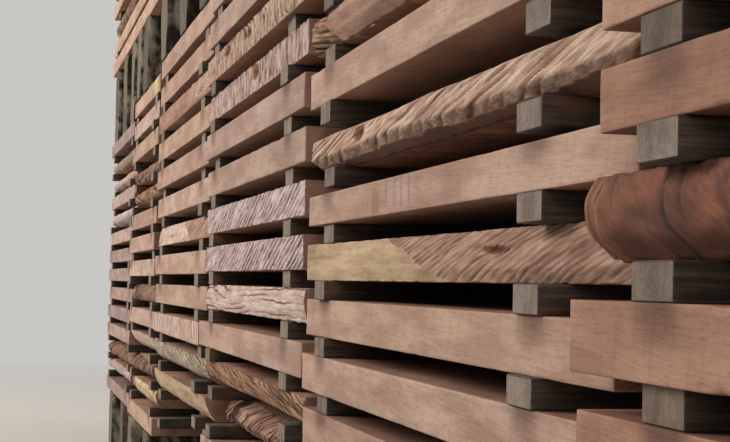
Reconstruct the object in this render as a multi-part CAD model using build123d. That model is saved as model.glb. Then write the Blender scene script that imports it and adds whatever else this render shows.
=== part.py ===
from build123d import *
import math
import os

os.makedirs("parts", exist_ok=True)

# A stack of sawn hardwood set out for drying: columns of boards end to end, each
# layer kept apart by two stickers, on bark-sided bearers, with a second tier on top.
# Millimetres, +Z up. X runs along the stack, the front face looks to -Y.

# Lower tier, columns numbered from the +X end
BOARD_LEN = 1080.0                                          # board length
LENGTH_TRIM = [0.0, 66.0, 0.0, 24.0, -254.0, -15.0]         # how much each column's differ
BUTT_GAP = 10.0            # gap between the columns' board ends
THICK = [50.0, 50.0, 50.5, 50.5, 48.0, 45.0]                # board thickness per column
STICKER_H = [26.0, 26.0, 26.7, 26.8, 25.9, 24.2]            # sticker height per column
THICKER = {(2, 9): 8.0, (1, 7): 10.0, (1, 8): -7.0}         # layers sawn thicker or thinner
TALLER = {(2, 9): 4.0}                                      # stickers above such a layer
THIN_FRONT = {(2, 8): 9.0}                                  # a front board less thick
PROUD = [30.0, 0.0, 3.0, -2.0, 2.0, -3.0]                   # how far each face stands out
BEARER_H = 187.0
BEARER_TRIM = [8.0, -7.0, 1.0, -4.0, 12.0, 22.0]            # bottom bearers, per column
LAYERS = 14                # layers in the lower tier
BOARDS_DEEP = 4            # boards side by side in a layer
DEPTH = 950.0              # front face to back face
SIDE_GAP = 9.0             # air gap between neighbouring boards
STICKER_W = 65.0
STICKER_IN = [141.0, 119.0, 90.0, 110.0, 50.0, 80.0]        # sticker centre from the -X end
STICKER_OUT = [150.0, 189.0, 157.0, 153.0, 95.0, 120.0]     # sticker centre from the +X end
END_PLAY = 3.0             # board ends lie this much in or out of line
FACE_PLAY = 4.0            # and the front arrises
STICKER_PLAY = 4.0         # and the sticks along the stack
TIP_PLAY = 7.0             # and their tips across it
TIP_IN = 2.0               # sticks end this far inside the boards' faces
WIDTH_MIX = 0.14           # boards differ in width by this share

# Upper tier: longer boards, fewer layers
UPPER_COLUMNS = 3
UPPER_GAP = 20.0
UPPER_LAYERS = 6
UPPER_THICK = 50.0
UPPER_STICKER_H = 26.0
UPPER_IN = 190.0           # outer stickers' distance from the board ends

# Bearers: cants sawn flat on two faces, bark on the other two
BEARER_W = 112.0
BEARER_MIX = 0.20          # bearers differ in width by this share
BARK_BULGE = 24.0
BARK_PLAY = 7.0            # how unevenly the bark sides run
BEARER_OVER = 2.0          # how far a bearer passes the boards at front and back
PACK_LIMIT = 45.0          # a taller gap than this above a column gets packing boards
PACK_W = 150.0
LOW_SPOTS = [(.14, .50, .84), (.12, .49, .82), (.10, .48, .84), (.12, .51, .84),
             (.21, .83), (.29, .79)]       # bearers below a column, as shares of its length
MID_SPOTS = [(.14, .50, .84), (.12, .49, .82), (.12, .48, .84), (.07, .50, .86),
             (.21, .50), (.20, .58, .89)]  # and between the tiers

# Front boards with a natural or torn edge: column, layer, top cut at the -X end and at
# the +X end, bottom cut at the -X end and at the +X end, waviness
WANEY = [
    (1, 7, 10, 20, 26, 22, 6), (1, 11, 10, 24, 6, 20, 5),
    (2, 9, 45, 50, 34, 42, 5), (2, 7, 2, 32, 1, 28, 5), (2, 11, 4, 8, 12, 20, 5),
    (3, 4, 1, 4, 42, 34, 6), (3, 3, 40, 26, 10, 8, 9), (3, 6, 6, 3, 3, 8, 4),
    (4, 4, 6, 3, 26, 30, 6), (4, 3, 4, 2, 20, 26, 5), (4, 8, 12, 14, 2, 2, 4),
    (5, 11, 30, 26, 10, 12, 7), (5, 10, 12, 16, 34, 30, 7), (5, 6, 22, 26, 8, 6, 6),
    (5, 4, 4, 10, 40, 44, 7), (5, 3, 30, 8, 12, 34, 7), (5, 2, 18, 17, 30, 30, 6),
    (6, 13, 20, 24, 12, 10, 7), (6, 12, 26, 30, 22, 18, 8), (6, 10, 10, 12, 24, 28, 6),
    (6, 3, 34, 30, 8, 10, 8), (6, 2, 14, 10, 34, 38, 8),
]
WANEY_UPPER = [(3, 3, 6, 18, 24, 12, 6), (2, 2, 22, 10, 6, 20, 6), (1, 4, 8, 22, 26, 10, 6)]
STATIONS = 9               # sections along a natural edge
NOSE_LOW, NOSE_HIGH = 0.30, 0.72   # heights between which a natural edge stands furthest out
NOSE_PLAY = 0.05
NOSE_SHARE = 0.25          # share of an arris cut that is left at those heights
SET_BACK = {(3, 3): 44.0, (4, 1): 136.0, (4, 2): 136.0}    # narrow front boards: column, layer

# A column seam that steps along the stack: column whose +X neighbour reaches over, layer
SEAM_STEP = {(4, 5): 95.0, (5, 3): 30.0, (5, 2): 24.0, (3, 12): -40.0,
             (2, 8): -40.0, (2, 9): -45.0, (2, 10): -45.0}


def spread(i, j, amount):
    """A repeatable offset between -amount and +amount for board or sticker i, j."""
    v = math.sin(i * 12.9898 + j * 78.233 + 4.1) * 43758.5453
    return (v - math.floor(v) - 0.5) * 2.0 * amount


def block(x0, x1, y0, y1, z0, z1):
    """A squared piece between six planes."""
    return Solid.make_box(x1 - x0, y1 - y0, z1 - z0, Plane(origin=(x0, y0, z0)))


def closed(polys):
    """A solid from its flat faces, each given as a loop of corner points."""
    faces = [Face(Wire.make_polygon([Vector(*p) for p in loop], close=True)) for loop in polys]
    return Solid(Shell(faces))


def edge_board(x0, x1, yf, yb, z0, z1, cut, seed):
    """A board whose front edge follows the log: both its arrises wander along the length."""
    t_l, t_r, b_l, b_r, wave = cut
    h = z1 - z0
    rings = []
    for n in range(STATIONS):
        t = n / (STATIONS - 1)
        x = x0 + (x1 - x0) * t
        top = t_l + (t_r - t_l) * t + abs(spread(n, seed, wave))
        low = b_l + (b_r - b_l) * t + abs(spread(n, seed + 5, wave))
        z_low = z0 + h * (NOSE_LOW + spread(n, seed + 9, NOSE_PLAY))
        z_high = z0 + h * (NOSE_HIGH + spread(n, seed + 13, NOSE_PLAY))
        rings.append([(x, yf + low, z0), (x, yf + low * NOSE_SHARE, z_low),
                      (x, yf + top * NOSE_SHARE, z_high), (x, yf + top, z1)])
    lines = [[ring[m] for ring in rings] for m in range(4)]
    polys = [lines[3] + [(x1, yb, z1), (x0, yb, z1)],
             lines[0] + [(x1, yb, z0), (x0, yb, z0)],
             [(x0, yb, z0), (x1, yb, z0), (x1, yb, z1), (x0, yb, z1)]]
    for x, ring in ((x0, rings[0]), (x1, rings[-1])):
        polys.append([(x, yb, z0)] + ring + [(x, yb, z1)])
    for a, b in zip(lines, lines[1:]):
        for n in range(STATIONS - 1):
            polys.append([a[n], a[n + 1], b[n + 1]])
            polys.append([a[n], b[n + 1], b[n]])
    return closed(polys)


def cant(xc, y0, y1, z0, z1, width, bulge, seed):
    """A bearer sawn flat on top and bottom, its bark sides swelling out between."""
    rows = 5
    levels = ((0.0, 0.0), (0.33, 0.85), (0.68, 0.9), (1.0, 0.0))
    left, right = [[] for _ in levels], [[] for _ in levels]
    for n in range(rows):
        y = y0 + (y1 - y0) * n / (rows - 1)
        for m, (lev, out) in enumerate(levels):
            half = width / 2 + bulge * out
            left[m].append((xc - half - spread(n, seed + m, BARK_PLAY), y, z0 + (z1 - z0) * lev))
            right[m].append((xc + half + spread(n, seed + m + 20, BARK_PLAY), y, z0 + (z1 - z0) * lev))
    polys = [left[0] + right[0][::-1], left[-1] + right[-1][::-1]]
    for k in (0, -1):
        polys.append([row[k] for row in left] + [row[k] for row in right[::-1]])
    for side in (left, right):
        for m in range(len(levels) - 1):
            a, b = side[m], side[m + 1]
            for n in range(rows - 1):
                polys.append([a[n], a[n + 1], b[n + 1]])
                polys.append([a[n], b[n + 1], b[n]])
    return closed(polys)


def board_rows(layer, front, back):
    """Front and back planes of the boards side by side in one layer."""
    room = back - front - SIDE_GAP * (BOARDS_DEEP - 1)
    share = [1.0 + spread(layer, n, WIDTH_MIX) for n in range(BOARDS_DEEP)]
    y, rows = front, []
    for s in share:
        w = room * s / sum(share)
        rows.append((y, y + w))
        y += w + SIDE_GAP
    return rows


nodes = {}


def save(name, solids):
    """One node: its pieces lie apart from each other."""
    nodes[name] = list(solids)


# Column positions: the -X end and the +X end, the whole length centred on X = 0
LENGTHS = [BOARD_LEN + trim for trim in LENGTH_TRIM]
TOTAL = sum(LENGTHS) + BUTT_GAP * (len(LENGTHS) - 1)
ends, x = [], TOTAL / 2
for length in LENGTHS:
    ends.append((x - length, x))
    x -= length + BUTT_GAP

FRONT = -DEPTH / 2
BACK = DEPTH / 2


def layer_heights(c):
    """Lowest and highest plane of each layer's boards in column c."""
    z, heights = BEARER_H + BEARER_TRIM[c], []
    for n in range(1, LAYERS + 1):
        top = z + THICK[c] + THICKER.get((c + 1, n), 0.0)
        heights.append((z, top))
        z = top + STICKER_H[c] + TALLER.get((c + 1, n), 0.0)
    return heights


levels = [layer_heights(c) for c in range(len(LENGTHS))]
UPPER_BASE = max(column[-1][1] for column in levels) + BEARER_H
packing, bearers_low, bearers_mid = [], [], []

for c, (xa, xb) in enumerate(ends):
    col = c + 1
    face = FRONT - PROUD[c]
    special = {w[1]: w[2:] for w in WANEY if w[0] == col}
    plain, waney, sticks = [], [], []
    for n, (z0, z1) in enumerate(levels[c], start=1):
        for r, (ya, yb) in enumerate(board_rows(n + 3 * c, face, BACK)):
            x0 = xa + spread(n, r + 7 * c, END_PLAY) - SEAM_STEP.get((col + 1, n), 0.0)
            x1 = xb + spread(n, r + 7 * c + 50, END_PLAY) - SEAM_STEP.get((col, n), 0.0)
            zt = z1
            if r == 0:
                ya += spread(n, c + 31, FACE_PLAY) + SET_BACK.get((col, n), 0.0)
                zt -= THIN_FRONT.get((col, n), 0.0)
            if r == 0 and n in special:
                waney.append(edge_board(x0, x1, ya, yb, z0, zt, special[n], n + 11 * c))
            else:
                plain.append(block(x0, x1, ya, yb, z0, zt))
        if n < LAYERS:
            top = levels[c][n][0]
            for k, xc in enumerate((xa + STICKER_IN[c], xb - STICKER_OUT[c])):
                xs = xc + spread(n, k + 9 * c, STICKER_PLAY)
                tip = face + TIP_IN + spread(n, k + 5 * c + 3, TIP_PLAY)
                tail = BACK - TIP_IN + spread(n, k + 60, TIP_PLAY)
                sticks.append(block(xs - STICKER_W / 2, xs + STICKER_W / 2,
                                    tip, tail, z1, top))
    save(f"boards_lower_{col}", plain)
    save(f"waney_boards_lower_{col}", waney)
    save(f"stickers_lower_{col}", sticks)

    # Bearers below the column and between the tiers
    base, top = levels[c][0][0], levels[c][-1][1]
    for k, at in enumerate(LOW_SPOTS[c]):
        w = BEARER_W * (1 + spread(c, k + 3, BEARER_MIX))
        bearers_low.append(cant(xa + at * (xb - xa), face - BEARER_OVER, BACK + BEARER_OVER, 0.0, base,
                                w, BARK_BULGE, 3 * c + k))
    lift = UPPER_BASE - BEARER_H - top
    for k, at in enumerate(MID_SPOTS[c]):
        w = BEARER_W * (1 + spread(c, k + 13, BEARER_MIX))
        foot = top
        if lift > PACK_LIMIT:
            packing.append(cant(xa + at * (xb - xa), face - BEARER_OVER / 2,
                                BACK + BEARER_OVER / 2, top, top + lift, PACK_W,
                                BARK_BULGE / 3, 3 * c + k + 70))
            foot = top + lift
        bearers_mid.append(cant(xa + at * (xb - xa), face - BEARER_OVER, BACK + BEARER_OVER, foot,
                                UPPER_BASE, w, BARK_BULGE, 3 * c + k + 40))
save("bearers_bottom", bearers_low)
save("bearers_middle", bearers_mid)
if packing:
    save("packing_boards", packing)

# Upper tier
upper_len = (TOTAL - UPPER_GAP * (UPPER_COLUMNS - 1)) / UPPER_COLUMNS
upper_waney = []
for u in range(UPPER_COLUMNS):
    xb = TOTAL / 2 - u * (upper_len + UPPER_GAP)
    xa = xb - upper_len
    special = {w[1]: w[2:] for w in WANEY_UPPER if w[0] == u + 1}
    plain, sticks = [], []
    for n in range(1, UPPER_LAYERS + 1):
        z0 = UPPER_BASE + (n - 1) * (UPPER_THICK + UPPER_STICKER_H)
        z1 = z0 + UPPER_THICK
        for r, (ya, yb) in enumerate(board_rows(n + 5 * u + 40, FRONT, BACK)):
            x0 = xa + spread(n, r + 8 * (u + 10), END_PLAY)
            x1 = xb + spread(n, r + 8 * (u + 12), END_PLAY)
            if r == 0:
                ya += spread(n, u + 71, FACE_PLAY)
            if r == 0 and n in special:
                upper_waney.append(edge_board(x0, x1, ya, yb, z0, z1, special[n], n + 90 + u))
            else:
                plain.append(block(x0, x1, ya, yb, z0, z1))
        if n < UPPER_LAYERS:
            for k, xc in enumerate((xa + UPPER_IN, (xa + xb) / 2, xb - UPPER_IN)):
                xs = xc + spread(n, k + 6 * u + 17, STICKER_PLAY)
                tip = FRONT + TIP_IN + spread(n, k + 4 * u + 33, TIP_PLAY)
                tail = BACK - TIP_IN + spread(n, k + 4 * u + 57, TIP_PLAY)
                sticks.append(block(xs - STICKER_W / 2, xs + STICKER_W / 2,
                                    tip, tail, z1, z1 + UPPER_STICKER_H))
    save(f"boards_upper_{u + 1}", plain)
    save(f"stickers_upper_{u + 1}", sticks)
save("waney_boards_upper", upper_waney)

# The origin lies on the floor under the middle of the whole stack
span = Compound([s for solids in nodes.values() for s in solids]).bounding_box()
SHIFT = Location((-(span.min.X + span.max.X) / 2, -(span.min.Y + span.max.Y) / 2, -span.min.Z))
for name, solids in nodes.items():
    whole = Compound(label=name, children=[s.moved(SHIFT) for s in solids])
    export_step(whole, f"parts/{name}.step")
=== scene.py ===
import math

import bpy
import numpy as np
from mathutils import Matrix, Vector


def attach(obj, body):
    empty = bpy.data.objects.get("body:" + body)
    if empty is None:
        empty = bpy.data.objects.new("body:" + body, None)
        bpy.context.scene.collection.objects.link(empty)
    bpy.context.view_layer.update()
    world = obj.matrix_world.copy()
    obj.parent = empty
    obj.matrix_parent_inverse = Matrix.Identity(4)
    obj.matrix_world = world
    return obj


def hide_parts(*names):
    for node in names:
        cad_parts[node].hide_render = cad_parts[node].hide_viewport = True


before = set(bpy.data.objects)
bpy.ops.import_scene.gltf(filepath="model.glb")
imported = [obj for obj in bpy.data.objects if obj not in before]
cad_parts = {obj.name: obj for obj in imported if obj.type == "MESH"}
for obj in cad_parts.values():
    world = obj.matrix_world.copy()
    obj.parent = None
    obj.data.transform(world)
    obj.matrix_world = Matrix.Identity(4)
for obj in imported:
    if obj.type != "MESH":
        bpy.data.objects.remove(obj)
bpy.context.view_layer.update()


# Boards of the lower tier: steamed beech, sawn square on four sides and stacked wet.
# The band saw leaves faint upright lines on every edge, the arrises are left raw and are
# nicked here and there. Below each stick the edge is darkened, partly as sticker stain and
# partly as painted shadow cast by the stick, and the ends are dark.

def solids_of(node):
    """The pieces of one node: triangles that share a corner, to 0.1 mm, belong together.
    Gives each piece's corner points, ordered by height and then along the stack."""
    grid = 1e4          # corners are compared in tenths of a millimetre
    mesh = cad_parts[node].data
    co = np.empty(len(mesh.vertices) * 3, np.float32)
    mesh.vertices.foreach_get("co", co)
    tri = np.empty(len(mesh.loops), np.int32)
    mesh.loops.foreach_get("vertex_index", tri)
    keys, inv = np.unique(np.round(co.reshape(-1, 3) * grid).astype(np.int64), axis=0,
                          return_inverse=True)
    tri = inv.ravel()[tri].reshape(-1, 3)
    label = np.arange(len(keys))
    while True:
        new = label.copy()
        np.minimum.at(new, tri, label[tri].min(axis=1)[:, None])
        if (new == label).all():
            break
        label = new
    parts = [keys[label == k] / grid for k in np.unique(label)]
    return sorted(parts, key=lambda p: (round(p[:, 2].min(), 3), round(p[:, 0].min(), 2),
                                        p[:, 1].min()))


def corners(parts):
    """The lowest and the highest corner of each piece's box."""
    return np.array([p.min(0) for p in parts]), np.array([p.max(0) for p in parts])


def hashed(a, b, seed):
    """A number from 0 to 1 for each pair of whole numbers, always the same for one seed."""
    n = (a * 374761393 + b * 668265263 + seed * 974634777) & 0xFFFFFFFF
    n = ((n ^ (n >> 13)) * 1274126177) & 0xFFFFFFFF
    return ((n ^ (n >> 16)) & 0xFFFF) / 65535.0


def patchy(u, v, seed, layers=1):
    """Value noise from -1 to 1: random heights on a unit lattice joined by smooth steps,
    each further layer twice as fine and half as strong."""
    total, top = 0.0, 0.0
    for k in range(layers):
        s, a = 2.0 ** k, 0.5 ** k
        iu, iv = np.floor(u * s).astype(np.int64), np.floor(v * s).astype(np.int64)
        fu, fv = u * s - iu, v * s - iv
        fu, fv = fu * fu * (3 - 2 * fu), fv * fv * (3 - 2 * fv)
        low = hashed(iu, iv, seed + k) * (1 - fu) + hashed(iu + 1, iv, seed + k) * fu
        up = hashed(iu, iv + 1, seed + k) * (1 - fu) + hashed(iu + 1, iv + 1, seed + k) * fu
        total = total + a * (low * (1 - fv) + up * fv)
        top += a
    return total / top * 2.0 - 1.0


def outline(front, top, back):
    """A squared section's outline as tables: place across (0 to 1), place in height (0 to 1),
    and how many arris radii each is moved inwards. Sides are given as places from 0 to 1.
    Each arris is a quarter circle with one point in its middle."""
    c = math.sqrt(0.5)
    rows = [(0.0, t, 0.0, 1 - 2 * t) for t in front]
    rows += [(0.0, 1.0, 1 - c, c - 1)]
    rows += [(t, 1.0, 1 - 2 * t, 0.0) for t in top]
    rows += [(1.0, 1.0, c - 1, c - 1)]
    rows += [(1.0, t, 0.0, 1 - 2 * t) for t in back[::-1]]
    rows += [(1.0, 0.0, c - 1, 1 - c)]
    rows += [(t, 0.0, 1 - 2 * t, 0.0) for t in top[::-1]]
    rows += [(0.0, 0.0, 1 - c, 1 - c)]
    return np.array(rows).T


def sawn_grid(lo, hi, along, shape, radius, end_in=0.0012):
    """Boards as tubes of one outline carried along X: the point at station s and outline
    place k is the board's box corner plus its share of the box and of the arris radius.
    The first and last rings are drawn in a little, so the ends have a small bevel too."""
    fy, fz, ry, rz = shape
    size = hi - lo
    b, s, p = len(lo), len(along) + 2, len(fy)
    x = np.empty((b, s))
    x[:, 1:-1] = lo[:, :1] + end_in + (size[:, :1] - 2 * end_in) * along
    x[:, 0], x[:, -1] = lo[:, 0], hi[:, 0]
    r = np.broadcast_to(radius, (b, s))[:, :, None]
    pts = np.empty((b, s, p, 3))
    pts[..., 0] = x[:, :, None]
    pts[..., 1] = lo[:, 1][:, None, None] + size[:, 1][:, None, None] * fy + r * ry
    pts[..., 2] = lo[:, 2][:, None, None] + size[:, 2][:, None, None] * fz + r * rz
    for k in (0, -1):
        for axis in (1, 2):
            a = lo[:, axis][:, None] + end_in
            z = hi[:, axis][:, None] - end_in
            pts[:, k, :, axis] = np.clip(pts[:, k, :, axis], a, z)
    return pts


def tube_mesh(name, groups, materials, node):
    """One closed mesh of many tubes. Each group is (points, side material, end material,
    tone, place, relief): points (pieces, rings, outline, 3), quads between the rings and
    one flat face on each end. A tube that comes out inside out is turned round."""
    cos, starts, loops, mats, tones, places, reliefs, smooth = [], [], [], [], [], [], [], []
    base, at = 0, 0
    for pts, side, end, tone, place, relief in groups:
        b, s, p, _ = pts.shape
        n = np.arange(b * s * p).reshape(b, s, p) + base
        a, c = n[:, :-1], n[:, 1:]
        quad = np.stack([a, np.roll(a, -1, 2), np.roll(c, -1, 2), c], -1).reshape(b, -1, 4)
        caps = np.stack([n[:, 0, ::-1], n[:, -1]], 1)
        ring = pts[:, s // 2]
        step = pts[:, -1, 0] - pts[:, 0, 0]
        run, u, v = (1, 2, 0) if abs(step[:, 1]).max() > abs(step[:, 0]).max() else (0, 1, 2)
        turn = np.sum(ring[..., u] * np.roll(ring[..., v], -1, 1)
                      - np.roll(ring[..., u], -1, 1) * ring[..., v], axis=1)
        turn = turn * np.sign(step[:, run])
        quad = np.where((turn > 0)[:, None, None], quad, quad[..., ::-1])
        caps = np.where((turn > 0)[:, None, None], caps, caps[..., ::-1])
        q = quad.reshape(-1, 4)
        starts += [at + np.arange(len(q)) * 4]
        at += q.size
        starts += [at + np.arange(2 * b) * p]
        at += caps.size
        loops += [q.ravel(), caps.ravel()]
        mats += [np.broadcast_to(np.asarray(side), (b, s - 1, p)).ravel(), np.full(2 * b, end)]
        smooth += [np.ones(len(q), bool), np.zeros(2 * b, bool)]
        cos.append(pts.reshape(-1, 3))
        tones.append(np.broadcast_to(tone[:, None, None, :], (b, s, p, 4)).reshape(-1, 4))
        places.append((pts + place[:, None, None, :]).reshape(-1, 3))
        reliefs.append(np.broadcast_to(relief, (b, s, p)).ravel())
        base += b * s * p
    mesh = bpy.data.meshes.new(name)
    co, loops = np.concatenate(cos), np.concatenate(loops)
    starts = np.concatenate(starts)
    mesh.vertices.add(len(co))
    mesh.vertices.foreach_set("co", co.astype(np.float32).ravel())
    mesh.loops.add(len(loops))
    mesh.loops.foreach_set("vertex_index", loops.astype(np.int32))
    mesh.polygons.add(len(starts))
    mesh.polygons.foreach_set("loop_start", starts.astype(np.int32))
    mesh.polygons.foreach_set("material_index", np.concatenate(mats).astype(np.int32))
    mesh.polygons.foreach_set("use_smooth", np.concatenate(smooth))
    for key, kind, field, data in (("tone", "FLOAT_COLOR", "color", np.concatenate(tones)),
                                   ("place", "FLOAT_VECTOR", "vector", np.concatenate(places)),
                                   ("relief", "FLOAT", "value", np.concatenate(reliefs))):
        layer = mesh.attributes.new(key, kind, "POINT")
        layer.data.foreach_set(field, data.astype(np.float32).ravel())
    mesh.update(calc_edges=True)
    mesh.validate()
    piece = bpy.data.objects.new(name, mesh)
    bpy.context.scene.collection.objects.link(piece)
    for m in materials:
        mesh.materials.append(m)
    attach(piece, "root")
    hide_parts(node)
    return piece


def tone_of(n, seed, light=0.5, brown=0.0, grey=0.0, yellow=0.0):
    """Four numbers from 0 to 1 for each piece: how light, how yellow, how brown, how grey."""
    k = np.arange(n)
    r = [hashed(k, k * 7 + j, seed + 31 * j) for j in range(4)]
    return np.stack([np.clip(light + 0.8 * (r[0] - 0.5), 0, 1),
                     np.clip(yellow + r[1] * 3 - 2.35, 0, 0.5),
                     np.clip(brown + 0.25 * (r[2] - 0.5), 0, 1),
                     np.clip(grey * (0.5 + r[3]), 0, 1)], -1)


def shift_of(n, seed, far=7):
    """An offset for each piece's patterns, up to this far in metres along X, Y and Z."""
    return tone_of(n, seed)[:, :3] * far


def shade(hexa):
    """An sRGB hex colour as linear light."""
    v = np.array([int(hexa[i:i + 2], 16) for i in (1, 3, 5)]) / 255.0
    v = np.where(v <= 0.04045, v / 12.92, ((v + 0.055) / 1.055) ** 2.4)
    return (*v.tolist(), 1.0)


def add(tree, kind, settings=None, out=None, stops=(), **links):
    """Adds one node and returns its output: settings are its own values, stops a ramp's
    colours, and links name its inputs, each a plain value or another node's output."""
    node = tree.nodes.new("ShaderNode" + kind)
    for key, value in (settings or {}).items():
        setattr(node, key, value)
    for k, (at, hexa) in enumerate(stops):
        e = node.color_ramp.elements[k] if k < 2 else node.color_ramp.elements.new(at)
        e.position, e.color = at, shade(hexa)
    for key, value in links.items():
        socket = node.inputs[int(key[1:]) if key[1:].isdigit() else key.replace("_", " ")]
        if isinstance(value, bpy.types.NodeSocket):
            tree.links.new(value, socket)
        else:
            socket.default_value = value
    return node.outputs[out] if out else next(o for o in node.outputs if o.enabled)


OVER = {"data_type": "RGBA"}
TIMES = {"data_type": "RGBA", "blend_type": "MULTIPLY"}


def surface(name, rough):
    """A new principled material's nodes, and the piece's own place, tone and relief."""
    mat = bpy.data.materials.new(name)
    mat.use_nodes = True
    tree = mat.node_tree
    tree.nodes["Principled BSDF"].inputs["Roughness"].default_value = rough
    place = add(tree, "Attribute", {"attribute_name": "place"}, "Vector")
    tint = add(tree, "Attribute", {"attribute_name": "tone"}, "Color")
    tone = [add(tree, "SeparateColor", None, channel, i0=tint)
            for channel in ("Red", "Green", "Blue")]
    tone += [add(tree, "Attribute", {"attribute_name": "tone"}, "Alpha")]
    relief = add(tree, "Attribute", {"attribute_name": "relief"}, "Fac")
    return mat, tree, place, tone, relief


def finished(mat, tree, colour, height, strength, deep):
    """The material with this colour, and with this height as a bump this deep in metres."""
    shader = tree.nodes["Principled BSDF"]
    bump = add(tree, "Bump", Strength=strength, Distance=deep, Height=height)
    tree.links.new(colour, shader.inputs["Base Color"])
    tree.links.new(bump, shader.inputs["Normal"])
    return mat


def dimmed(tree, colour, layers):
    """The colour multiplied by each layer in turn. A layer is (amount, value, place of the
    dark tone, place of white, dark tone): a ramp of the value from dark to white."""
    for amount, value, low, high, dark in layers:
        ramp = add(tree, "ValToRGB", i0=value, stops=[(low, dark), (high, "#ffffff")])
        colour = add(tree, "Mix", TIMES, i0=amount, i6=colour, i7=ramp)
    return colour


def grain(tree, place, size, detail=3.0, rough=0.6, tilt=0.0):
    """Noise whose grains have this size in metres along X, Y and Z, turned about Y."""
    vec = add(tree, "Mapping", {"vector_type": "TEXTURE"}, i0=place, i2=(0.0, tilt, 0.0), i3=size)
    return add(tree, "TexNoise", i0=vec, Scale=1.0, Detail=detail, Roughness=rough)


# Marks on the edges: place along the stack, height, half height and half width in metres,
# and colour. Four plain strokes of blue crayon, a brown stain and a yellow dab.
MARKS = [(1.3975, 0.738, 0.015, 0.0018, "#55597f"), (1.4355, 0.736, 0.014, 0.0015, "#55597f"),
         (1.4625, 0.735, 0.015, 0.0018, "#55597f"), (1.4975, 0.735, 0.013, 0.0015, "#55597f"),
         (1.345, 0.728, 0.012, 0.016, "#74462a"), (-1.39, 1.185, 0.020, 0.045, "#ccd838")]
MARKS_Y = -0.44         # marks show only in front of this depth


def sawn_beech():
    """Steamed beech, rough sawn: pinkish beige and matt, with soft lighter and darker
    clouds, short flecks and faint saw lines that cross it. The wide faces are painted deeper
    brown as painted shade, and the edges carry the marks."""
    mat, tree, place, tone, relief = surface("sawn_beech", 0.8)
    cloud = grain(tree, place, (0.16, 0.05, 0.035), 4.0, 0.55)
    patch = grain(tree, place, (0.09, 0.06, 0.05), 2.0, 0.5)
    fibre = grain(tree, place, (0.045, 0.003, 0.0025), 4.0, 0.65, 0.05)
    saw = grain(tree, place, (0.005, 0.02, 0.06), 3.0, 0.6, 0.22)
    fleck = grain(tree, place, (0.012, 0.004, 0.0018), 2.0)
    col = add(tree, "ValToRGB", i0=tone[0],
              stops=[(0.0, "#a48472"), (0.5, "#b99a88"), (1.0, "#cbb2a4")])
    pink = add(tree, "MapRange", i0=patch, i1=0.46, i2=0.62, i3=0.0, i4=0.34)
    wash = grain(tree, place, (0.40, 0.15, 0.10), 2.0, 0.5)
    pale = add(tree, "MapRange", i0=wash, i1=0.46, i2=0.62, i3=0.0, i4=0.55)
    for amount, over in ((pink, "#a87763"), (pale, "#cbb19c"), (tone[1], "#c3a985"),
                         (tone[2], "#96664d"), (tone[3], "#958487")):
        col = add(tree, "Mix", OVER, i0=amount, i6=col, i7=shade(over))
    col = dimmed(tree, col, [(0.42, cloud, 0.44, 0.60, "#b39a8b"),
                             (0.30, fibre, 0.36, 0.52, "#b29684"),
                             (0.17, saw, 0.34, 0.50, "#ae9484"),
                             (0.45, fleck, 0.26, 0.42, "#9a7a68")])
    # painted shade: faces that lie level, tops and undersides, are multiplied toward #b58a68
    up = add(tree, "SeparateXYZ", None, "Z", i0=add(tree, "NewGeometry", None, "Normal"))
    level = add(tree, "Math", {"operation": "ABSOLUTE"}, i0=up)
    flat = add(tree, "MapRange", i0=level, i1=0.7, i2=0.97, i3=0.0, i4=0.62)
    col = add(tree, "Mix", TIMES, i0=flat, i6=col, i7=shade("#b58a68"))
    # relief multiplies toward #82604b: below each stick sticker stain with painted shadow of the
    # stick, and on a rough board's sawn band under its torn face painted shade
    col = add(tree, "Mix", TIMES, i0=relief, i6=col, i7=shade("#82604b"))
    spot = add(tree, "TexCoord", None, "Object")
    x, y, z = (add(tree, "SeparateXYZ", None, axis, i0=spot) for axis in "XYZ")
    bend = 0.016                    # a stroke is bent by this times the patches, in metres
    bent = add(tree, "Math", {"operation": "MULTIPLY_ADD"}, i0=patch, i1=bend, i2=x)
    near = add(tree, "Math", {"operation": "LESS_THAN"}, i0=y, i1=MARKS_Y)
    for mark_x, mark_z, half_high, half_wide, crayon in MARKS:
        inside = near
        for value, middle, half, fade, most in ((bent, mark_x + bend / 2, half_wide, 0.005, 0.42),
                                                (z, mark_z, half_high, 0.006, 1.0)):
            off = add(tree, "Math", {"operation": "SUBTRACT"}, i0=value, i1=middle)
            off = add(tree, "Math", {"operation": "ABSOLUTE"}, i0=off)
            on = add(tree, "MapRange", i0=off, i1=half, i2=half + fade, i3=most, i4=0.0)
            inside = add(tree, "Math", {"operation": "MULTIPLY"}, i0=inside, i1=on)
        col = add(tree, "Mix", OVER, i0=inside, i6=col, i7=shade(crayon))
    height = add(tree, "Math", {"operation": "MULTIPLY_ADD"}, i0=saw, i1=0.45, i2=fibre)
    return finished(mat, tree, col, height, 0.45, 0.0009)


def end_grain():
    """Cross-cut beech: a little darker than the edges, with growth rings about 4 mm
    apart in wide arcs round a pith far below, and short checks."""
    mat, tree, place, _, _ = surface("end_grain", 0.85)
    centre = add(tree, "Mapping", i0=place, i1=(0, 0.03, 0.08))
    rings = add(tree, "TexWave", {"wave_type": "RINGS", "rings_direction": "X"}, "Fac",
                i0=centre, Scale=75.0, Distortion=3.0, Detail=2.0, i4=0.6)
    cloud = grain(tree, place, (0.04, 0.04, 0.04), 3.0)
    col = add(tree, "ValToRGB", i0=cloud, stops=[(0.3, "#8c6a5b"), (0.7, "#b08e7e")])
    col = dimmed(tree, col, [(0.35, rings, 0.2, 0.7, "#b79a8e")])
    crack = grain(tree, place, (0.03, 0.016, 0.0024), 2.0)
    gap = add(tree, "MapRange", i0=crack, i1=0.66, i2=0.72, i3=0.0, i4=0.8)
    col = add(tree, "Mix", OVER, i0=gap, i6=col, i7=shade("#2a1b16"))
    return finished(mat, tree, col, cloud, 0.4, 0.001)


beech, grain_end = sawn_beech(), end_grain()
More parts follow.
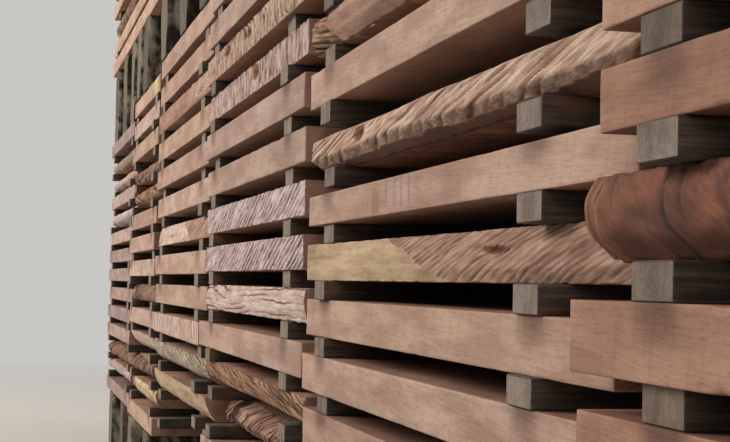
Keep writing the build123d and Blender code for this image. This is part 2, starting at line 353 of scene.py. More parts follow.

# Front faces that are not smooth: fibres torn out in long slanting grooves, and upright
# ribs that a shaking saw cut. Each look has its relief and three tones of colour, from a
# painted highlight on the crests to painted shade in the grooves. A relief is a number for
# each x and z, 0 on a crest and 1 in a groove. Its grooves lean this many degrees from the
# board's length, and are this wide in metres.

def torn(x, z, seed, lean, wide):
    """Torn fibres at an angle to the board. With u across them in units of their width and
    v along them in units of 18 widths: 0.1 + 0.4 (0.5 + 0.5 cos 2 pi u)^3 + noise (u, v),
    0 a crest, 1 a groove."""
    a = math.radians(lean)
    u = (z * math.cos(a) - x * math.sin(a)) / wide
    v = (x * math.cos(a) + z * math.sin(a)) / (18 * wide)
    u = u + 0.45 * patchy(v * 1.3, u / 4, seed + 2, 2)
    groove = (0.5 + 0.5 * np.cos(2 * np.pi * u)) ** 3
    brk = patchy(u * 1.1 + 5, v, seed, 2)
    return np.clip(0.10 + 0.40 * groove * (1 + brk) + 0.42 * np.maximum(brk, 0)
                   + 0.22 * patchy(u * 3, v * 5, seed + 5), 0, 1)


def strands(x, z, seed, lean, wide):
    """The same fibres, but regular and nearly parallel, with narrow dark grooves, v in
    units of 10 widths: 0.05 + 0.9 (0.5 + 0.5 cos 2 pi u)^8 where they are whole."""
    a = math.radians(lean)
    u = (z * math.cos(a) - x * math.sin(a)) / wide
    v = (x * math.cos(a) + z * math.sin(a)) / (10 * wide)
    u = u + 0.4 * patchy(v, u / 3, seed + 2, 2)
    groove = (0.5 + 0.5 * np.cos(2 * np.pi * u)) ** 8
    brk = patchy(u + 0.5, v * 1.5, seed, 2)
    return np.clip(0.05 + 0.90 * groove * np.clip(0.65 + 1.2 * brk, 0, 1.2)
                   + 0.22 * np.maximum(patchy(u * 2.6, v * 6, seed + 6), 0), 0, 1)


def ribs(x, z, seed, lean, wide):
    """Upright ribs, uneven and broken, with finer torn fibre on them: a groove
    0.12 + 0.7 (0.5 + 0.5 cos 2 pi u)^4, u = x / width + lean * z / 50 mm, bent by noise.
    Here the lean is the share of a width that a groove moves over in 50 mm of height."""
    u = x / wide + lean * z / 0.05 + 1.1 * patchy(x * 9, z * 30, seed, 2)
    fine = patchy(x / 0.010, z / 0.016, seed + 4, 3)
    high = np.clip(0.60 + 0.9 * patchy(x / 0.06, z / 0.015, seed + 9, 2), 0, 1.2)
    groove = (0.5 + 0.5 * np.cos(2 * np.pi * u)) ** 4
    return np.clip(0.12 + 0.70 * high * groove + 0.45 * fine, 0, 1)


def flakes(x, z, seed, lean, wide):
    """Bark: shallow plates, and narrow cracks that lean across it where a noise nears 0."""
    a = math.radians(lean)
    u = (z * math.cos(a) - x * math.sin(a)) / wide
    v = (x * math.cos(a) + z * math.sin(a)) / (6 * wide)
    plate = patchy(u * 0.8, v * 2, seed, 3)
    crack = 1 - np.clip(abs(patchy(u * 0.9 + 3, v, seed + 7, 3)) * 5.5, 0, 1)
    rough = patchy(u * 4, v * 7, seed + 11, 3)
    return np.clip(0.22 + 0.20 * plate + 0.30 * rough + 0.70 * crack ** 2, 0, 1)


def riven(x, z, seed, lean, wide):
    """Torn fibres broken by cracks like those of bark: the higher of torn and 0.85 flakes."""
    cracks = 0.85 * flakes(x, z, seed + 1, lean, 1.7 * wide)
    return np.maximum(torn(x, z, seed, lean, wide), cracks)


def wavy(x, z, seed, lean, wide):
    """Pale torn wood with long wavy cracks: u = z / width + noise (x / 300 mm) + a little
    noise (x / 50 mm), a crack where u is whole, and each one fades in and out along x."""
    u = z / wide + 1.2 * patchy(x / 0.30, z / 0.05, seed + 2)
    u = u + 0.35 * patchy(x / 0.05, z / 0.03, seed, 2)
    line = np.round(u)
    there = np.clip(0.60 + 1.5 * patchy(x / 0.22, line * 7.3, seed + 4), 0, 1)
    crack = np.clip(1 - abs(u - line) * 6, 0, 1) * there
    return np.clip(0.12 + 0.12 * patchy(x / 0.16, z / 0.009, seed + 3, 3) + 0.85 * crack, 0, 1)


def gentle(x, z, seed, lean, wide):
    """A surface worn nearly smooth, with a few shallow hollows along the fibre, 160 mm long
    and 12 mm high: 0.25 + 0.4 noise. It has no grooves, so no lean or width."""
    return np.clip(0.25 + 0.4 * patchy(x / 0.16, z / 0.012, seed, 3), 0, 1)


def worn(x, z, seed, lean, wide):
    """Wane worn nearly smooth: soft mottles, and a few fine upright checks, one where
    u = x / width + lean * z / 50 mm + noise is whole."""
    u = x / wide + lean * z / 0.05 + 0.8 * patchy(x / 0.06, z / 0.03, seed, 2)
    line = np.round(u)
    there = np.clip(0.2 + 1.4 * patchy(line * 3.7, z / 0.05, seed + 4), 0, 1)
    check = np.clip(1 - abs(u - line) * 6, 0, 1) * there
    return np.clip(0.30 + 0.30 * patchy(x / 0.05, z / 0.02, seed + 3, 3) + 0.35 * check, 0, 1)


def fibrous(name, deep, mid, crest, tilt, strength=0.5):
    """A rough face in three tones by relief, painted shade in the grooves and a painted
    highlight on the crests, with flecks and strands 50 mm long that follow the torn fibre's
    tilt in radians, and clouds 80 mm long of a darker tone."""
    mat, tree, place, tone, relief = surface(name, 0.92)
    fleck = grain(tree, place, (0.014, 0.006, 0.0025), 4.0, 0.65, tilt)
    strand = grain(tree, place, (0.05, 0.004, 0.0028), 3.0, 0.6, tilt)
    cloud = grain(tree, place, (0.08, 0.03, 0.02), 3.0, 0.55, tilt)
    depth = add(tree, "Math", {"operation": "MULTIPLY_ADD"}, i0=fleck, i1=0.45, i2=relief)
    # painted shade and highlight: the deeper the relief, the darker the tone, from crest to deep
    col = add(tree, "ValToRGB", i0=depth, stops=[(0.28, crest), (0.58, mid), (0.88, deep)])
    col = dimmed(tree, col, [(strength, strand, 0.36, 0.58, "#8f7464"),
                             (0.45, cloud, 0.36, 0.58, "#b69d8d"),
                             (0.30, tone[0], 0.36, 0.58, "#c0aea2")])
    return finished(mat, tree, col, strand, 1.2 * strength, 0.0014)


# Each look: relief, its lean, its width and depth in metres, the place on the section where
# it starts (0 the low arris, 1 and 2 the noses, 3 the top arris), and its material.
TILT = math.radians(-12)
LOOKS = {
    "cream": (torn, 10, 0.0085, 0.0035, 0.5,
              fibrous("torn_cream", "#80604e", "#c3a38f", "#e4cdbd", TILT, 0.6)),
    "rosy": (torn, 14, 0.0062, 0.0013, 0.0,
             fibrous("torn_pinkish_brown", "#7c5948", "#a58270", "#bd9f8d", TILT, 0.5)),
    "pink": (strands, 19, 0.0112, 0.0062, 0.0,
             fibrous("torn_pinkish_grey", "#3b211c", "#9b8485", "#d0c0c1", TILT)),
    "riven": (riven, 20, 0.0120, 0.0065, 0.0,
              fibrous("torn_red_brown", "#2b1811", "#946c5b", "#c09c8a", -0.35)),
    "ribbed": (ribs, 0.4, 0.030, 0.0050, 0.0,
               fibrous("ribbed_saw_cut", "#44291f", "#9f847d", "#c9b4ae", 1.35)),
    "banded": (ribs, 0.3, 0.045, 0.0012, 0.0,
               fibrous("banded_saw_cut", "#a08275", "#b3978a", "#cdb8ae", 1.35, 0.3)),
    "toothed": (ribs, 0.6, 0.032, 0.0065, 0.0,
                fibrous("ribbed_paler", "#47291a", "#a98b79", "#d2bcab", 1.35)),
    "rust": (torn, -7, 0.0078, 0.0055, 0.0,
             fibrous("torn_orange_brown", "#29160d", "#7f563a", "#bb9675", 0.13, 0.65)),
    "split": (wavy, 0, 0.0115, 0.0045, 0.0,
              fibrous("split_pale_wood", "#6e4b39", "#baa298", "#d3c1b9", 0.0, 0.35)),
    "pale": (gentle, 0, 0, 0.0030, 0.0,
             fibrous("pale_rough_wood", "#876c5b", "#bda597", "#cfbdb2", 0.0, 0.3)),
    "smooth": (gentle, 0, 0, 0.0015, 0.0,
               fibrous("smooth_wane", "#7d5a49", "#a88371", "#b89887", 0.1, 0.3)),
    "sap": (gentle, 0, 0, 0.0012, 0.0,
            fibrous("sapwood", "#8f7659", "#bda586", "#cbb59a", 0.0, 0.2)),
    "bark": (flakes, 17, 0.022, 0.0090, 0.0,
             fibrous("beech_bark", "#20130c", "#715342", "#9c7b67", 0.3)),
    "grey": (strands, -7, 0.0100, 0.0060, 0.0,
             fibrous("grey_bark", "#2b241d", "#6f6455", "#b3a893", 0.13, 0.65)),
    "red": (worn, 0.4, 0.030, 0.0030, 0.0,
            fibrous("reddish_wane", "#2f1911", "#6a4031", "#965f45", 0.5, 0.2)),
    "broken": (torn, 80, 0.010, 0.0050, 0.0,
               fibrous("broken_end", "#2e1a12", "#774a33", "#a27254", 1.4)),
    "knot": (torn, 40, 0.008, 0.0090, 0.0,
             fibrous("knot_wood", "#2d190e", "#83502c", "#ad7848", 0.8)),
}
NAMES = list(LOOKS)
FACES = [beech, grain_end] + [LOOKS[k][-1] for k in NAMES]
SAWN = 0                # place of the sawn beech in that list
FIRST_LOOK = 2          # and of the first look
FLAT_LOOKS = {"sap", "pale"}        # faces that lie nearly flat between their arrises
ROUND_LOOKS = {"bark", "red"}       # and faces that keep the log's full round
SLANT, RAGGED = 0.10, 0.03          # how far a border between looks slants and is ragged,
BORDER = 0.012                      # and how soft it is, as shares of the board's length
KNOT_DEEP = 0.006
CREASE = 0.0025         # the wide faces meet the front this far behind its arrises
BACK_ARRIS = 0.0015
# Knots: place along the stack, height, half length and half height in metres
KNOTS = [(1.222, 0.820, 0.030, 0.011), (1.752, 0.666, 0.042, 0.004), (0.120, 1.074, 0.045, 0.009),
         (0.383, 1.072, 0.022, 0.010), (0.428, 0.996, 0.034, 0.014)]


def carried(xs, lines, x, steps):
    """Four lines with two measures at the stations xs, read at every x and joined across by
    straight steps: place t runs from 0 on the first line to 3 on the last."""
    read = np.array([[np.interp(x, xs, lines[:, m, k]) for k in (0, 1)] for m in range(4)])
    t = np.linspace(0, 3, steps)
    m = np.minimum(t.astype(int), 2)
    f = (t - m)[None, :]
    return [read[m, k].T * (1 - f) + read[m + 1, k].T * f for k in (0, 1)] + [t]


def rough_board(xs, lines, yb, z0, z1, looks, seed, stations, steps, chipped=0.003):
    """A board whose front is carried through four lines (low arris, two noses, top arris)
    given as depth and height at the stations xs, rounded by a few 1-2-1 averages, and then
    pushed in by depth * relief(x, z), which fades toward the arrises. These are chipped
    themselves. Looks are (share of the length where it starts, name), one after another."""
    x = np.linspace(xs[0], xs[-1], stations)
    y, z, t = carried(xs, lines, x, steps)
    if {name for _, name in looks} & FLAT_LOOKS:
        y = 0.4 * y + 0.6 * (y[:, :1] + (y[:, -1:] - y[:, :1]) * t / 3)
    for _ in range(steps // 3 if looks[-1][1] in ROUND_LOOKS else 3):
        y[:, 1:-1] = (y[:, :-2] + 2 * y[:, 1:-1] + y[:, 2:]) / 4
        z[:, 1:-1] = (z[:, :-2] + 2 * z[:, 1:-1] + z[:, 2:]) / 4
    across = np.broadcast_to(x[:, None], y.shape)
    share = (across - x[0]) / (x[-1] - x[0])
    jag = patchy(z / 0.012, across / 0.08, seed + 40, 3)
    hollow, push, which = np.zeros(y.shape), np.zeros(y.shape), np.zeros(y.shape, int)
    for start, name in looks:
        field, lean, wide, deep, low, _ = LOOKS[name]
        edge = start + min(SLANT, 0.3 * start) * (1 - 2 * t[None, :] / 3)
        edge = edge - min(RAGGED, 0.5 * start) * jag
        part = np.clip((share - edge) / BORDER + 0.5, 0, 1) if start else np.ones(y.shape)
        part = part * (t[None, :] >= low + 0.35 * low * jag)
        r = field(across + seed * 0.37, z, seed, lean, wide)
        hollow = hollow * (1 - part) + r * part
        push = push * (1 - part) + deep * r * part
        which = np.where(part > 0.5, FIRST_LOOK + NAMES.index(name), which)
    # painted shade: where a rough board keeps the sawn beech, the band under its torn face, relief
    # 0.75 darkens it
    hollow = np.where(which == SAWN, 0.75, hollow)
    for kx, kz, half, high in KNOTS:
        far = ((across - kx) / half) ** 2 + ((z - kz) / high) ** 2
        inside = far + 0.5 * patchy(across / 0.012, z / 0.006, seed + 50, 2) < 1
        push = push + KNOT_DEEP * np.exp(-far)
        # painted shade: the knot's hollow also darkens the tones round it
        hollow = np.maximum(hollow, 0.6 * np.exp(-far * 1.5))
        which = np.where(inside, FIRST_LOOK + NAMES.index("knot"), which)
    y = y + push * np.clip(np.minimum(t, 3 - t) * 3 + 0.4, 0, 1)[None, :]
    for row, way in ((0, 1), (-1, -1)):
        chip = np.clip(patchy(x * 60, x * 0 + row + 2.5, seed + 21, 3) + 0.1, 0, 1)
        z[:, row] += way * chipped * chip
        y[:, row] += chipped * chip
    c, n = BACK_ARRIS, steps
    pts = np.empty((stations, n + 6, 3))
    pts[..., 0] = x[:, None]
    pts[:, :n, 1], pts[:, :n, 2] = y, z
    pts[:, n, 1:] = np.stack([y[:, -1] + CREASE, np.full(stations, z1)], -1)
    for k, pair in enumerate(((yb - c, z1), (yb, z1 - c), (yb, z0 + c), (yb - c, z0))):
        pts[:, n + 1 + k, 1:] = pair
    pts[:, n + 5, 1:] = np.stack([y[:, 0] + CREASE, np.full(stations, z0)], -1)
    relief = np.zeros((stations, n + 6))
    relief[:, :n] = hollow
    side = np.zeros((stations - 1, n + 6), int)
    side[:, :n - 1] = which[:-1, :-1]
    return pts[None], side, relief[None]


# Outlines of a board in the front row and of one behind it, and the tier's columns
FINE = outline([0, .04, .2, .35, .5, .65, .8, .96, 1], [0, .03, .15, .5, .97, 1], [0, 1])
PLAIN = outline([0, 1], [0, 1], [0, 1])
LOWER = [1, 2, 3, 4, 5, 6]
# How light, brown and grey each column's wood is, and the rough faces by column and layer
LIGHT = {1: 0.30, 2: 0.45, 3: 0.66, 4: 0.60, 5: 0.72, 6: 0.52}
BROWN = {1: 0.62, 2: 0.10, 3: 0.05, 4: 0.05, 5: 0.05, 6: 0.12}
GREY = {1: 0.0, 2: 0.10, 3: 0.34, 4: 0.15, 5: 0.20, 6: 0.65}
ROUGH_SAWN = {(3, 7): [(0, "pink")], (3, 8): [(0, "pink")], (3, 11): [(0, "ribbed")],
              (3, 12): [(0, "toothed")], (4, 5): [(0, "banded")], (6, 9): [(0, "ribbed")],
              (4, 12): [(0, "smooth"), (0.70, "cream")], (6, 11): [(0, "pink")]}
FRONT_ROW = -0.30       # boards that begin before this depth are in the front row
LAYER_STEP = 0.02       # boards whose undersides differ by more are in different layers
SMOOTH_MESH = {1: 84, 2: 84, 3: 84}             # stations along a sawn board near the camera
FAR_SMOOTH_MESH = 40
ROUGH_MESH, FAR_ROUGH_MESH = {3: (300, 32)}, (150, 16)      # stations along, steps across

for column in LOWER:
    parts = solids_of(f"boards_lower_{column}")
    lo, hi = corners(parts)
    sticks = solids_of(f"stickers_lower_{column}")
    waney = solids_of(f"waney_boards_lower_{column}")
    bases = np.sort([p[:, 2].min() for p in parts + waney])
    levels = bases[np.r_[True, np.diff(bases) > LAYER_STEP]]
    layer = [int(np.argmin(abs(levels - z))) + 1 for z in lo[:, 2]]
    front = lo[:, 1] < FRONT_ROW
    rough = np.array([bool(f) and (column, n) in ROUGH_SAWN for f, n in zip(front, layer)])

    # smooth fronts, with nicked arrises, a little unevenness, and below each stick sticker stain
    # with painted shadow of the stick
    a, b = lo[front & ~rough], hi[front & ~rough]
    along = np.linspace(0, 1, SMOOTH_MESH.get(column, FAR_SMOOTH_MESH))
    pos = a[:, :1] + (b - a)[:, :1] * np.linspace(0, 1, len(along) + 2)
    nick = np.clip(patchy(pos * 30, np.arange(len(a))[:, None] * 9.7, 5 + column, 2), 0, 1)
    pts = sawn_grid(a, b, along, FINE, 0.0010 + 0.007 * nick ** 3)
    n = np.arange(len(a))[:, None, None]
    facing = np.clip(1 - (pts[..., 1] - a[:, 1][:, None, None]) / 0.012, 0, 1)
    wave = patchy(pts[..., 0] * 5 + n * 3.1, pts[..., 2] * 18 + n * 1.7, 40 + column, 3)
    pts[..., 1] += 0.0010 * (wave + 0.6) * facing
    relief = np.zeros(pts.shape[:3])
    # below each stick, a little to its right and fading downwards: sticker stain where it touches,
    # painted shadow of the stick down the front
    for stick in sticks:
        xs, zs = (stick[:, 0].min() + stick[:, 0].max()) / 2, stick[:, 2].min()
        touch = np.exp(-((pts[..., 0] - xs - 0.008) / 0.034) ** 4)      # as wide as the stick
        drop = np.clip(zs - pts[..., 2], 0, 1)                          # and fading downwards
        below = np.exp(-(drop / 0.026) ** 2) * (pts[..., 2] <= zs + 0.001) * (drop < 0.06)
        relief = np.maximum(relief, 0.75 * touch * below)
    wood = (LIGHT[column], BROWN[column], GREY[column])
    groups = [(pts, 0, 1, tone_of(len(a), 11 * column, *wood), shift_of(len(a), 3 * column),
               relief)]

    # rough fronts
    for k in np.where(rough)[0]:
        xs, h = np.array([lo[k, 0], hi[k, 0]]), hi[k, 2] - lo[k, 2]
        lines = np.array([[(lo[k, 1], lo[k, 2] + h * s) for s in (0, .3, .7, 1)]] * 2)
        pts, side, relief = rough_board(
            xs, lines, hi[k, 1], lo[k, 2], hi[k, 2], ROUGH_SAWN[(column, layer[k])],
            30 * column + layer[k], *ROUGH_MESH.get(column, FAR_ROUGH_MESH))
        groups.append((pts, side, 1, tone_of(1, layer[k], LIGHT[column]), shift_of(1, layer[k]),
                       relief))

    # the boards behind them
    a, b = lo[~front], hi[~front]
    pts = sawn_grid(a, b, np.array([0, .33, .67, 1]), PLAIN, 0.0015)
    groups.append((pts, 0, 1, tone_of(len(a), 17 * column, *wood), shift_of(len(a), 5 * column),
                   np.zeros(pts.shape[:3])))
    tube_mesh(f"lower_boards_{column}", groups, FACES, f"boards_lower_{column}")


# Boards with a natural edge: the front follows the log, with bark on it or with fibres
# torn out of the wane. The other three sides are sawn like those of their neighbours.

def splinters(x, y, z, count, seed):
    """Slivers that hang from a torn lower arris: thin four-sided strips 25 to 65 mm long
    that taper to a point, leave the board at a low angle and curl out by t squared."""
    k = np.arange(count)
    r = [hashed(k * 3 + 1, k + j, seed + j) for j in range(5)]
    at = (r[0] * (len(x) - 20)).astype(int) + 10
    t = np.linspace(0, 1, 6)[None, :]
    long, wide = 0.025 + 0.040 * r[1], 0.0012 + 0.0014 * r[2]
    way = np.where(r[3] > 0.4, 1, -1)
    px = x[at][:, None] + (way * long)[:, None] * t
    py = y[at][:, None] + 0.004 - (0.002 + 0.004 * r[4])[:, None] * t ** 2
    pz = z[at][:, None] + 0.003 - (0.004 + 0.005 * r[4])[:, None] * t ** 1.3
    half = wide[:, None] * (1 - 0.9 * t)
    corner = np.array([(-1, -1), (1, -1), (1, 1), (-1, 1)])
    pts = np.empty((count, 6, 4, 3))
    pts[..., 0] = px[..., None]
    pts[..., 1] = py[..., None] + 0.5 * half[..., None] * corner[:, 0]
    pts[..., 2] = pz[..., None] + half[..., None] * corner[:, 1]
    return pts


# Looks of the natural edges, from the lowest board up, as for rough_board
EDGES = {1: [[(0, "broken"), (0.020, "red")], [(0, "rosy")]],
         2: [[(0, "sap"), (0.47, "rosy")], [(0, "cream")],
             [(0, "rust"), (0.10, "smooth"), (0.55, "rosy")]],
         3: [[(0, "riven")], [(0, "rust")], [(0, "split")]],
         4: [[(0, "sap")], [(0, "grey")], [(0, "pale"), (0.6, "rosy")]],
         5: [[(0, "rust"), (0.15, "sap")], [(0, "bark")], [(0, "pale")], [(0, "bark")],
             [(0, "rust")], [(0, "bark")]],
         6: [[(0, "pink")], [(0, "bark")], [(0, "pink")], [(0, "ribbed")], [(0, "grey")]],
         "upper": [[(0, "pink")], [(0, "bark")], [(0, "rosy")]]}
EDGE_MESH = {1: (260, 26), 2: (400, 46), 3: (320, 44), 4: (200, 26)}
FAR_EDGE_MESH = (140, 16)           # stations along, steps across
CHIPPED, LESS_CHIPPED = 0.006, 0.002
CALM = ("sap", "smooth", "pale", "red")         # looks whose arrises are less chipped
SPLINTERY = ("rust", "rosy", "pink", "bark")    # looks whose lower arris has slivers
SLIVERS = 9
RING = 2e-4             # corners of one ring lie this near each other

for column in LOWER + ["upper"]:
    node = "waney_boards_upper" if column == "upper" else f"waney_boards_lower_{column}"
    groups = []
    for k, points in enumerate(solids_of(node)):
        xs = np.unique(np.round(points[:, 0], 4))
        yb = points[:, 1].max()
        lines = []
        for x in xs:
            ring = points[(abs(points[:, 0] - x) < RING) & (points[:, 1] < yb - 1e-3)]
            lines.append(ring[np.argsort(ring[:, 2])][:4, 1:])
        seed = 100 * (7 if column == "upper" else column) + k
        look = EDGES[column][k]
        first = look[0][1]
        stations, steps = EDGE_MESH.get(column, FAR_EDGE_MESH)
        pts, side, relief = rough_board(
            xs, np.array(lines), yb, points[:, 2].min(), points[:, 2].max(), look, seed,
            stations, steps, LESS_CHIPPED if first in CALM else CHIPPED)
        light, brown = LIGHT.get(column, 0.5), BROWN.get(column, 0.1)
        groups.append((pts, side, 1, tone_of(1, seed, light, brown), shift_of(1, seed + 2),
                       relief))
        if first in SPLINTERY:
            slips = splinters(*pts[0, :, 0].T, SLIVERS, seed)
            groups.append((slips, side[(stations - 1) // 2, 3], 1, tone_of(SLIVERS, seed),
                           shift_of(SLIVERS, seed, 1), np.zeros(slips.shape[:3])))
    tube_mesh(f"natural_edges_{column}", groups, FACES, node)


# Stickers: old strips about 65 by 26 mm that hold the layers apart. Their ends show at
# the face of the stack as small grey-brown blocks, and their long sides are painted nearly
# black as the shade between the boards. Sawn to size and used many times.

def sticker_wood():
    """Old strip wood, painted blackish brown as the shade between the boards, with fibre 4 mm
    wide along Y and a few orange brown patches where it was cut last."""
    mat, tree, place, tone, _ = surface("sticker_wood", 0.9)
    fibre = grain(tree, place, (0.004, 0.08, 0.004), 4.0)
    patch = grain(tree, place, (0.05, 0.10, 0.05), 2.0)
    # painted shade: the strip's sides are coloured near black for the shade between the boards
    col = add(tree, "ValToRGB", i0=fibre,
              stops=[(0.3, "#2a231d"), (0.55, "#483d33"), (0.78, "#6d5f52")])
    fresh = add(tree, "MapRange", i0=patch, i1=0.58, i2=0.68, i3=0.0, i4=0.6)
    col = add(tree, "Mix", OVER, i0=fresh, i6=col, i7=shade("#7a5236"))
    col = dimmed(tree, col, [(0.5, tone[0], 0.2, 0.8, "#a0958b")])
    return finished(mat, tree, col, fibre, 0.5, 0.001)


def cut_end(name, dark, light, warm):
    """A weathered cross cut: short grain flecks, saw lines 2.5 mm wide, a few stains, and
    a warmer tone on some of the pieces."""
    mat, tree, place, tone, _ = surface(name, 0.92)
    fleck = grain(tree, place, (0.0035, 0.01, 0.0035), 4.0, 0.7)
    saw = grain(tree, place, (0.0025, 0.03, 0.03), 2.0)
    stain = grain(tree, place, (0.03, 0.03, 0.04), 3.0)
    col = add(tree, "ValToRGB", i0=fleck, stops=[(0.3, dark), (0.65, light)])
    col = add(tree, "Mix", OVER, i0=tone[1], i6=col, i7=shade(warm))
    col = dimmed(tree, col, [(0.6, stain, 0.33, 0.6, "#8d8175"), (0.28, saw, 0.33, 0.6, "#9d9186"),
                             (0.6, tone[0], 0.33, 0.6, "#988c83")])
    return finished(mat, tree, col, fleck, 0.6, 0.0012)


def crosswise(parts, shape, places, radius, seed):
    """Pieces that lie across the stack: the same tubes carried along Y instead, so X and Y
    change places before and after, with a slight unevenness on the side toward -X."""
    lo, hi = (corner[:, [1, 0, 2]] for corner in corners(parts))
    pts = sawn_grid(lo, hi, places, shape, radius)
    wob = patchy(pts[..., 0] * 14 + np.arange(len(lo))[:, None, None] * 5.3,
                 pts[..., 2] * 60, seed, 2)
    inner = (pts[..., 1] - lo[:, 1][:, None, None]) < 0.02
    pts[..., 1] += 0.0008 * (wob + 1) * inner
    return pts[..., [1, 0, 2]]


strip, strip_end = sticker_wood(), cut_end("sticker_end", "#74685f", "#95877d", "#8b705a")
STICK = outline([0, .5, 1], [0, .5, 1], [0, .5, 1])
STICK_LIGHT = {"1": 0.40, "2": 0.75}            # how light, by the column's number
for node in [f"stickers_lower_{c}" for c in LOWER] + [f"stickers_upper_{u}" for u in (1, 2, 3)]:
    parts = solids_of(node)
    n = len(parts)
    wear = 0.0012 + 0.0022 * hashed(np.arange(n), np.arange(n) * 3, 8)[:, None]
    pts = crosswise(parts, STICK, np.array([0, .02, .25, .5, .75, 1]), wear, 60)
    tone = tone_of(n, 23, STICK_LIGHT.get(node[-1], 0.8))
    tube_mesh(node.replace("stickers", "sticks"),
              [(pts, 0, 1, tone, shift_of(n, 29, 5), np.zeros(pts.shape[:3]))],
              [strip, strip_end], node)


# Upper tier: the same beech in longer boards, six layers on the middle bearers. Its
# lowest layers come into view from the floor.

for tier in (1, 2, 3):
    lo, hi = corners(solids_of(f"boards_upper_{tier}"))
    n = len(lo)
    along = np.linspace(0, 1, 24)
    pos = lo[:, :1] + (hi - lo)[:, :1] * np.linspace(0, 1, len(along) + 2)
    nick = np.clip(patchy(pos * 12, np.arange(n)[:, None] * 7.7, 15 + tier, 2), 0, 1)
    pts = sawn_grid(lo, hi, along, PLAIN, 0.0012 + 0.006 * nick ** 3)
    tube_mesh(f"upper_boards_{tier}",
              [(pts, 0, 1, tone_of(n, 71 * tier, light=0.7, yellow=0.28), shift_of(n, 13 * tier),
                np.zeros(pts.shape[:3]))], FACES, f"boards_upper_{tier}")


# Bearers: cants 180 to 220 mm high, sawn flat above and below, with bark on the other two
# sides. The bark is cracked in upright plates and grey green with lichen in places. The cut
# ends are weathered grey brown. Packing boards of the same kind level the last column.

def bearer_pts(points, seed, stations, steps, lump):
    """A bearer as rings along Y. Each bark side is carried through its four lines, ordered
    by height, and pushed in by lump * (0.4 + 0.55 noise(y / 30 mm, z / 90 mm)
    + 0.45 crack^2), which fades toward the sawn faces. So its plates stand upright."""
    ys = np.unique(np.round(points[:, 1], 4))
    mid = (points[:, 0].min() + points[:, 0].max()) / 2
    y = np.linspace(ys[0], ys[-1], stations)
    rings, deep = [], []
    for sign in (-1, 1):
        rows = []
        for at in ys:
            ring = points[(abs(points[:, 1] - at) < RING) & ((points[:, 0] - mid) * sign > 0)]
            rows.append(ring[np.argsort(ring[:, 2])][:, [0, 2]])
        x, z, t = carried(ys, np.array(rows), y, steps)
        g = np.broadcast_to(y[:, None], x.shape)
        plate = patchy(g / 0.030 + seed, z / 0.090 + seed * 1.7, seed + (3 if sign > 0 else 8), 3)
        crack = 1 - np.clip(abs(patchy(g / 0.022, z / 0.07 + seed, seed + 15, 2)) * 3.5, 0, 1)
        hollow = np.clip(0.4 + 0.55 * plate + 0.45 * crack ** 2, 0, 1)
        x = x - sign * lump * hollow * np.sin(np.pi * t / 3)[None, :] ** 0.4
        order = slice(None) if sign < 0 else slice(None, None, -1)
        rings.append(np.stack([x, g, z], -1)[:, order])
        deep.append(hollow[:, order])
    return np.concatenate(rings, 1)[None], np.concatenate(deep, 1)[None]


def lichen_bark():
    """Bearer bark: brown plates whose cracks are painted dark as shade, near black in the
    deepest, and pale grey-green lichen, in patches 50 mm across, that keeps off the deepest
    cracks."""
    mat, tree, place, _, relief = surface("bearer_bark", 0.93)
    speck = grain(tree, place, (0.007, 0.007, 0.015), 5.0, 0.7)
    patch = grain(tree, place, (0.05, 0.05, 0.10), 5.0, 0.65)
    depth = add(tree, "Math", {"operation": "MULTIPLY_ADD"}, i0=speck, i1=0.6, i2=relief)
    # painted shade: the deeper the bark's relief, the darker, down to near black in the cracks
    col = add(tree, "ValToRGB", i0=depth,
              stops=[(0.25, "#8f6c4d"), (0.6, "#5c3f29"), (0.95, "#1d1410")])
    grey = add(tree, "ValToRGB", i0=speck, stops=[(0.3, "#7b7e72"), (0.7, "#c6c8b8")])
    on = add(tree, "MapRange", i0=patch, i1=0.40, i2=0.50, i3=0.0, i4=0.9)
    off = add(tree, "MapRange", i0=depth, i1=0.60, i2=0.90, i3=1.0, i4=0.05)
    lichen = add(tree, "Math", {"operation": "MULTIPLY"}, i0=on, i1=off)
    col = add(tree, "Mix", OVER, i0=lichen, i6=col, i7=grey)
    return finished(mat, tree, col, speck, 0.9, 0.004)


lichened, log_end = lichen_bark(), cut_end("bearer_end", "#4f473e", "#857a6a", "#84725a")
BARK_STATIONS, BARK_STEPS = 70, 12
BARK_SIDES = np.array(([2] * (BARK_STEPS - 1) + [0]) * 2)       # 2 bark, 0 the flat sawn faces
for node, slot, lump in (("bearers_bottom", "bearer_wood", 0.012),
                         ("bearers_middle", "bearer_wood", 0.012),
                         ("packing_boards", "packing_wood", 0.004)):
    groups = []
    for k, points in enumerate(solids_of(node)):
        pts, relief = bearer_pts(points, 40 + 7 * k, BARK_STATIONS, BARK_STEPS, lump)
        groups.append((pts, BARK_SIDES, 1, tone_of(1, 300 + k, 0.6), shift_of(1, 500 + k, 5),
                       relief))
    tube_mesh(node + "_dressed", groups, [strip, log_end, lichened], node)


# Camera where the photograph was taken, low down and close to the face. Of three large
# soft lights the strongest is out in front toward the far end, the next is behind the
# stack and the weakest is past its near end. A pale floor runs into the wall.
FOCAL, WIDE = 1580.1, 730           # the photograph's focal length and width in pixels
STOOD = (3.1355, -0.881, 0.633)     # and where its camera stood, in metres
view = bpy.data.cameras.new("camera")
view.sensor_width = 36.0
view.lens = FOCAL / WIDE * view.sensor_width
eye = bpy.data.objects.new("camera", view)
bpy.context.scene.collection.objects.link(eye)
yaw, pitch, roll = math.radians(12.99), math.radians(2.27), math.radians(1.18)
ahead = Vector((-math.cos(yaw) * math.cos(pitch), math.sin(yaw) * math.cos(pitch),
                math.sin(pitch)))
side = ahead.cross(Vector((0, 0, 1))).normalized()
above = side.cross(ahead)
side, above = (side * math.cos(roll) + above * math.sin(roll),
               above * math.cos(roll) - side * math.sin(roll))
turn = Matrix((side, above, -ahead)).transposed().to_4x4()
eye.matrix_world = Matrix.Translation(STOOD) @ turn
bpy.context.scene.camera = eye

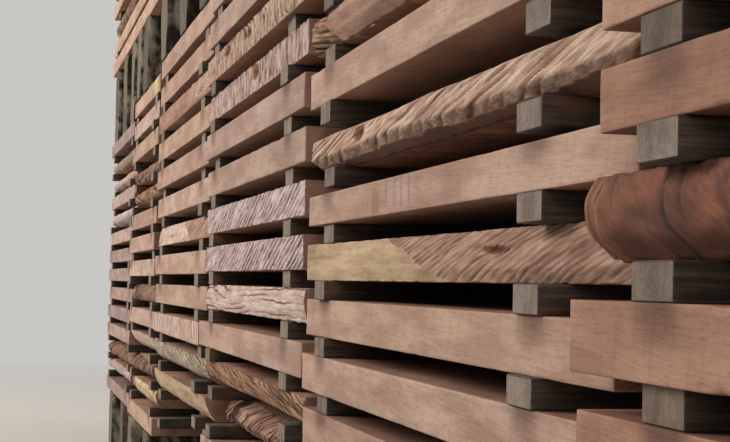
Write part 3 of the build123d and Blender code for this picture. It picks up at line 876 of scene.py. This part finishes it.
floor_mesh = bpy.data.meshes.new("floor")
far = 60
floor_mesh.from_pydata([(-far, -far, 0), (far, -far, 0), (far, far, 0), (-far, far, 0)], [],
                       [(0, 1, 2, 3)])
floor = bpy.data.objects.new("floor", floor_mesh)
bpy.context.scene.collection.objects.link(floor)
pale = bpy.data.materials.new("pale_floor")
pale.use_nodes = True
ground = pale.node_tree
matt = ground.nodes["Principled BSDF"]
matt.inputs["Base Color"].default_value = shade("#c2c0bc")
matt.inputs["Roughness"].default_value = 0.95
centred = add(ground, "TexCoord", None, "Object")
reach = add(ground, "VectorMath", {"operation": "LENGTH"}, "Value", i0=centred)
NEAR, FAR = 4.0, 9.0                # the floor turns into wall this far from the middle
fade = add(ground, "MapRange", i0=reach, i1=NEAR, i2=FAR, i3=0.0, i4=1.0)
direct = add(ground, "LightPath", None, "Is Camera Ray")
fade = add(ground, "Math", {"operation": "MULTIPLY"}, i0=fade, i1=direct)
WALL = shade("#c9c7c3")
glow = add(ground, "Emission", i0=WALL, i1=1.0)
both = add(ground, "MixShader", i0=fade, i1=matt.outputs[0], i2=glow)
ground.links.new(both, ground.nodes["Material Output"].inputs[0])
floor_mesh.materials.append(pale)

world = bpy.data.worlds.new("studio")
bpy.context.scene.world = world
world.use_nodes = True
sky_tree = world.node_tree
sky = sky_tree.nodes["Background"]
sky.inputs[0].default_value = shade("#f3f1ee")
SKY_LIGHT = 0.38
sky.inputs[1].default_value = SKY_LIGHT
wall = add(sky_tree, "Background", i0=WALL)
seen = add(sky_tree, "LightPath", None, "Is Camera Ray")
pick = add(sky_tree, "MixShader", i0=seen, i1=sky.outputs[0], i2=wall)
sky_tree.links.new(pick, sky_tree.nodes["World Output"].inputs[0])
AIM = Vector((-0.4, 0, 0.9))
for name, watts, size, spot in (("key", 930.0, 5.0, (-4.6, -7.2, 5.6)),
                                ("fill", 120.0, 5.0, (8.0, -4.2, 4.0)),
                                ("back", 330.0, 6.0, (3.0, 9.0, 6.5))):
    light = bpy.data.lights.new(name, "AREA")
    light.energy, light.size = watts, size
    light.color = shade("#fff6ea")[:3]
    lamp = bpy.data.objects.new(name, light)
    bpy.context.scene.collection.objects.link(lamp)
    turn = (AIM - Vector(spot)).to_track_quat("-Z", "Y").to_matrix().to_4x4()
    lamp.matrix_world = Matrix.Translation(spot) @ turn
bpy.context.scene.view_settings.view_transform = "Standard"
